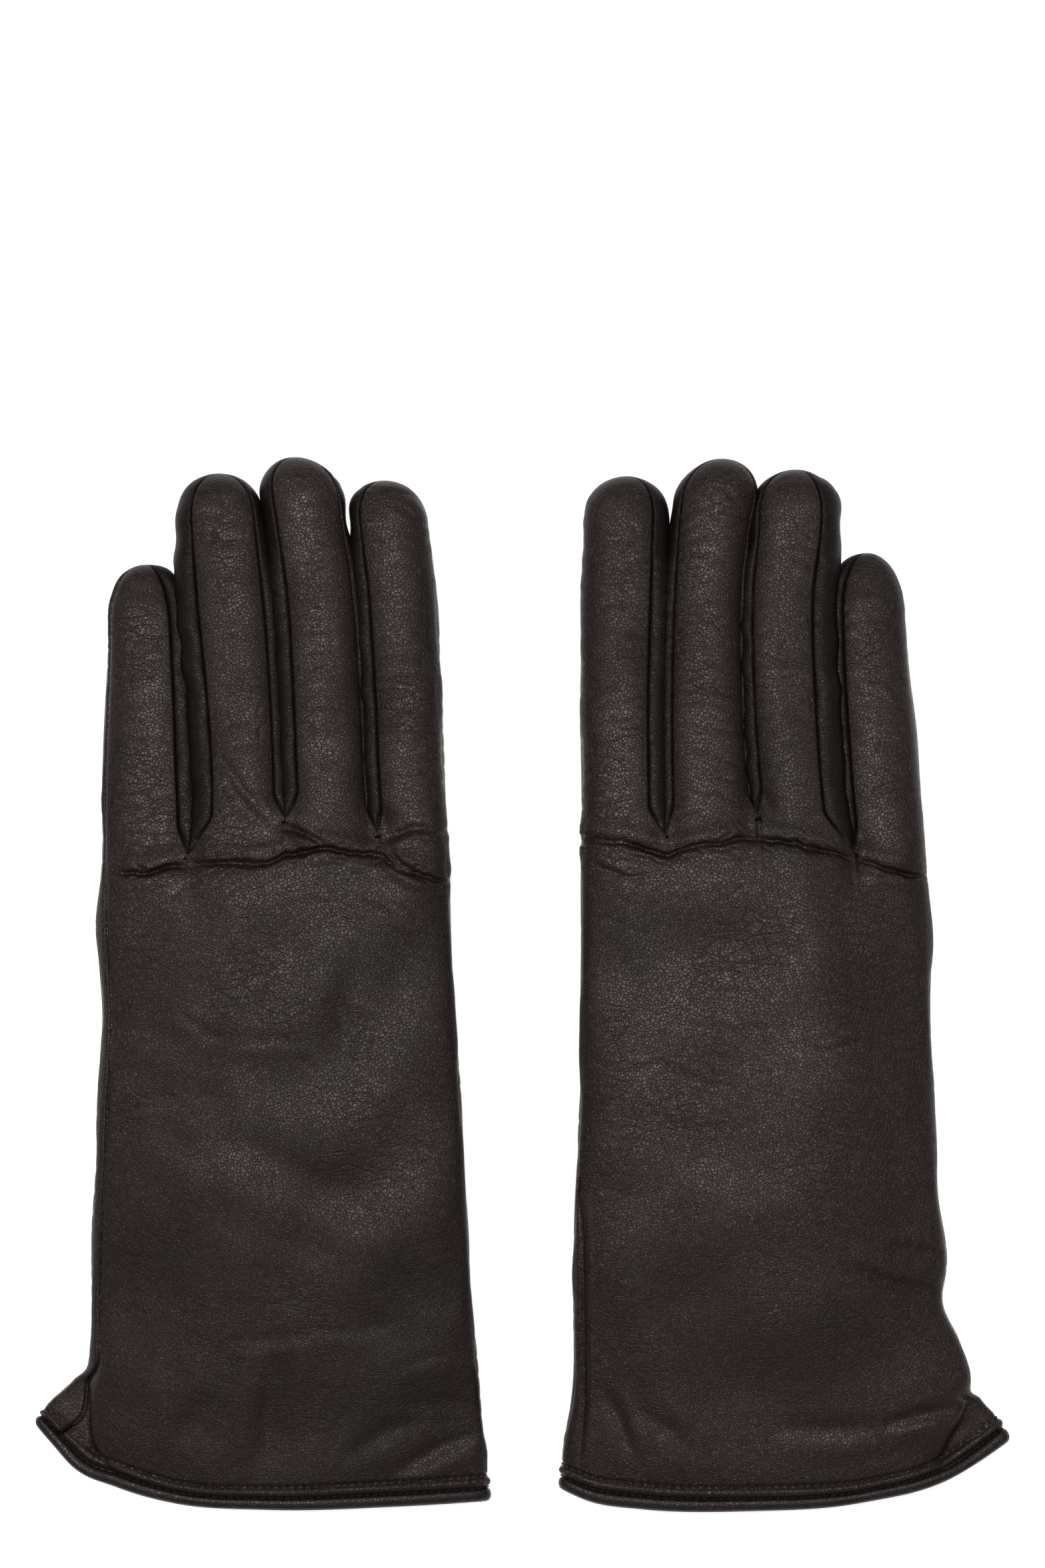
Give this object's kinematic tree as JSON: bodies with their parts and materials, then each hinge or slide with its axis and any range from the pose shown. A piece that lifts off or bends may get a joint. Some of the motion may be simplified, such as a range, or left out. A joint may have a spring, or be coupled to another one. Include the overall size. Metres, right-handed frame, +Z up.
{
  "type": "pair of leather gloves",
  "caption": "Pair of mid-length sewn leather dress gloves with knitted lining and bound cuff hem, laid palm down with the thumbs folded under; fingers, thumbs and wrists bend.",
  "frame": {"origin": "middle of the pair's footprint, on the surface that the gloves lie on", "axes": "+X from the left-hand glove to the right-hand glove, +Y towards the fingertips, +Z up out of the backs of the hands"},
  "size_m": [0.2522, 0.27, 0.0223],
  "materials": {
    "leather": "smooth satin nappa leather with a fine grain, brown-black",
    "edge_leather": "the same leather, skived and folded",
    "knit_lining": "fine matt wool knit"
  },
  "bodies": {
    "left_hand": {"left_hand_trank": "leather", "left_hand_lining": "knit_lining"},
    "left_cuff": {"left_cuff_back": "leather", "left_cuff_palm": "leather", "left_cuff_lining": "knit_lining", "left_hem_binding": "edge_leather"},
    "left_thumb": {"left_thumb_leather": "leather", "left_thumb_lining": "knit_lining"},
    "left_index_finger": {"left_index_trank": "leather", "left_index_fourchette": "leather", "left_index_lining": "knit_lining"},
    "left_middle_finger": {"left_middle_back": "leather", "left_middle_palm": "leather", "left_middle_fourchette_index_side": "leather", "left_middle_fourchette_ring_side": "leather", "left_middle_lining": "knit_lining"},
    "left_ring_finger": {"left_ring_back": "leather", "left_ring_palm": "leather", "left_ring_fourchette_middle_side": "leather", "left_ring_fourchette_little_side": "leather", "left_ring_lining": "knit_lining"},
    "left_little_finger": {"left_little_back": "leather", "left_little_palm": "leather", "left_little_fourchette": "leather", "left_little_lining": "knit_lining"},
    "right_hand": {"right_hand_trank": "leather", "right_hand_lining": "knit_lining"},
    "right_cuff": {"right_cuff_back": "leather", "right_cuff_palm": "leather", "right_cuff_lining": "knit_lining", "right_hem_binding": "edge_leather"},
    "right_thumb": {"right_thumb_leather": "leather", "right_thumb_lining": "knit_lining"},
    "right_index_finger": {"right_index_trank": "leather", "right_index_fourchette": "leather", "right_index_lining": "knit_lining"},
    "right_middle_finger": {"right_middle_back": "leather", "right_middle_palm": "leather", "right_middle_fourchette_index_side": "leather", "right_middle_fourchette_ring_side": "leather", "right_middle_lining": "knit_lining"},
    "right_ring_finger": {"right_ring_back": "leather", "right_ring_palm": "leather", "right_ring_fourchette_middle_side": "leather", "right_ring_fourchette_little_side": "leather", "right_ring_lining": "knit_lining"},
    "right_little_finger": {"right_little_back": "leather", "right_little_palm": "leather", "right_little_fourchette": "leather", "right_little_lining": "knit_lining"}
  },
  "joints": [
    {"name": "left_wrist_bend", "type": "hinge", "parent": "left_hand", "child": "left_cuff", "pos_m": [-0.061, -0.05749, 0.0158], "axis": [1, 0, 0], "range_deg": [-60, 70]},
    {"name": "left_thumb_swing", "type": "hinge", "parent": "left_hand", "child": "left_thumb", "pos_m": [-0.037, -0.02549, 0.0045], "axis": [0, 0, -1], "range_deg": [0, 80]},
    {"name": "left_index_bend", "type": "hinge", "parent": "left_hand", "child": "left_index_finger", "pos_m": [-0.02715, 0.04401, 0.0158], "axis": [-0.9983, -0.0576, 0], "range_deg": [-35, 80]},
    {"name": "left_middle_bend", "type": "hinge", "parent": "left_hand", "child": "left_middle_finger", "pos_m": [-0.0485, 0.04751, 0.0158], "axis": [-0.9976, -0.0698, 0], "range_deg": [-35, 80]},
    {"name": "left_ring_bend", "type": "hinge", "parent": "left_hand", "child": "left_ring_finger", "pos_m": [-0.0711, 0.04751, 0.0158], "axis": [-0.9982, -0.0593, 0], "range_deg": [-35, 80]},
    {"name": "left_little_bend", "type": "hinge", "parent": "left_hand", "child": "left_little_finger", "pos_m": [-0.09385, 0.03751, 0.0158], "axis": [-0.9997, -0.0227, 0], "range_deg": [-35, 80]},
    {"name": "right_wrist_bend", "type": "hinge", "parent": "right_hand", "child": "right_cuff", "pos_m": [0.061, -0.05749, 0.0158], "axis": [1, 0, 0], "range_deg": [-60, 70]},
    {"name": "right_thumb_swing", "type": "hinge", "parent": "right_hand", "child": "right_thumb", "pos_m": [0.037, -0.02549, 0.0045], "axis": [0, 0, 1], "range_deg": [0, 80]},
    {"name": "right_index_bend", "type": "hinge", "parent": "right_hand", "child": "right_index_finger", "pos_m": [0.02715, 0.04401, 0.0158], "axis": [-1, 0.0087, 0], "range_deg": [-35, 80]},
    {"name": "right_middle_bend", "type": "hinge", "parent": "right_hand", "child": "right_middle_finger", "pos_m": [0.0485, 0.04751, 0.0158], "axis": [-1, -0.0017, 0], "range_deg": [-35, 80]},
    {"name": "right_ring_bend", "type": "hinge", "parent": "right_hand", "child": "right_ring_finger", "pos_m": [0.0711, 0.04751, 0.0158], "axis": [-0.9999, -0.0122, 0], "range_deg": [-35, 80]},
    {"name": "right_little_bend", "type": "hinge", "parent": "right_hand", "child": "right_little_finger", "pos_m": [0.09385, 0.03751, 0.0158], "axis": [-0.9988, -0.0488, 0], "range_deg": [-35, 80]},
    {"name": "pair_lift", "type": "slide", "parent": "left_hand", "child": "right_hand", "axis": [0, 0, 1], "range_m": [0, 0.12]}
  ]
}
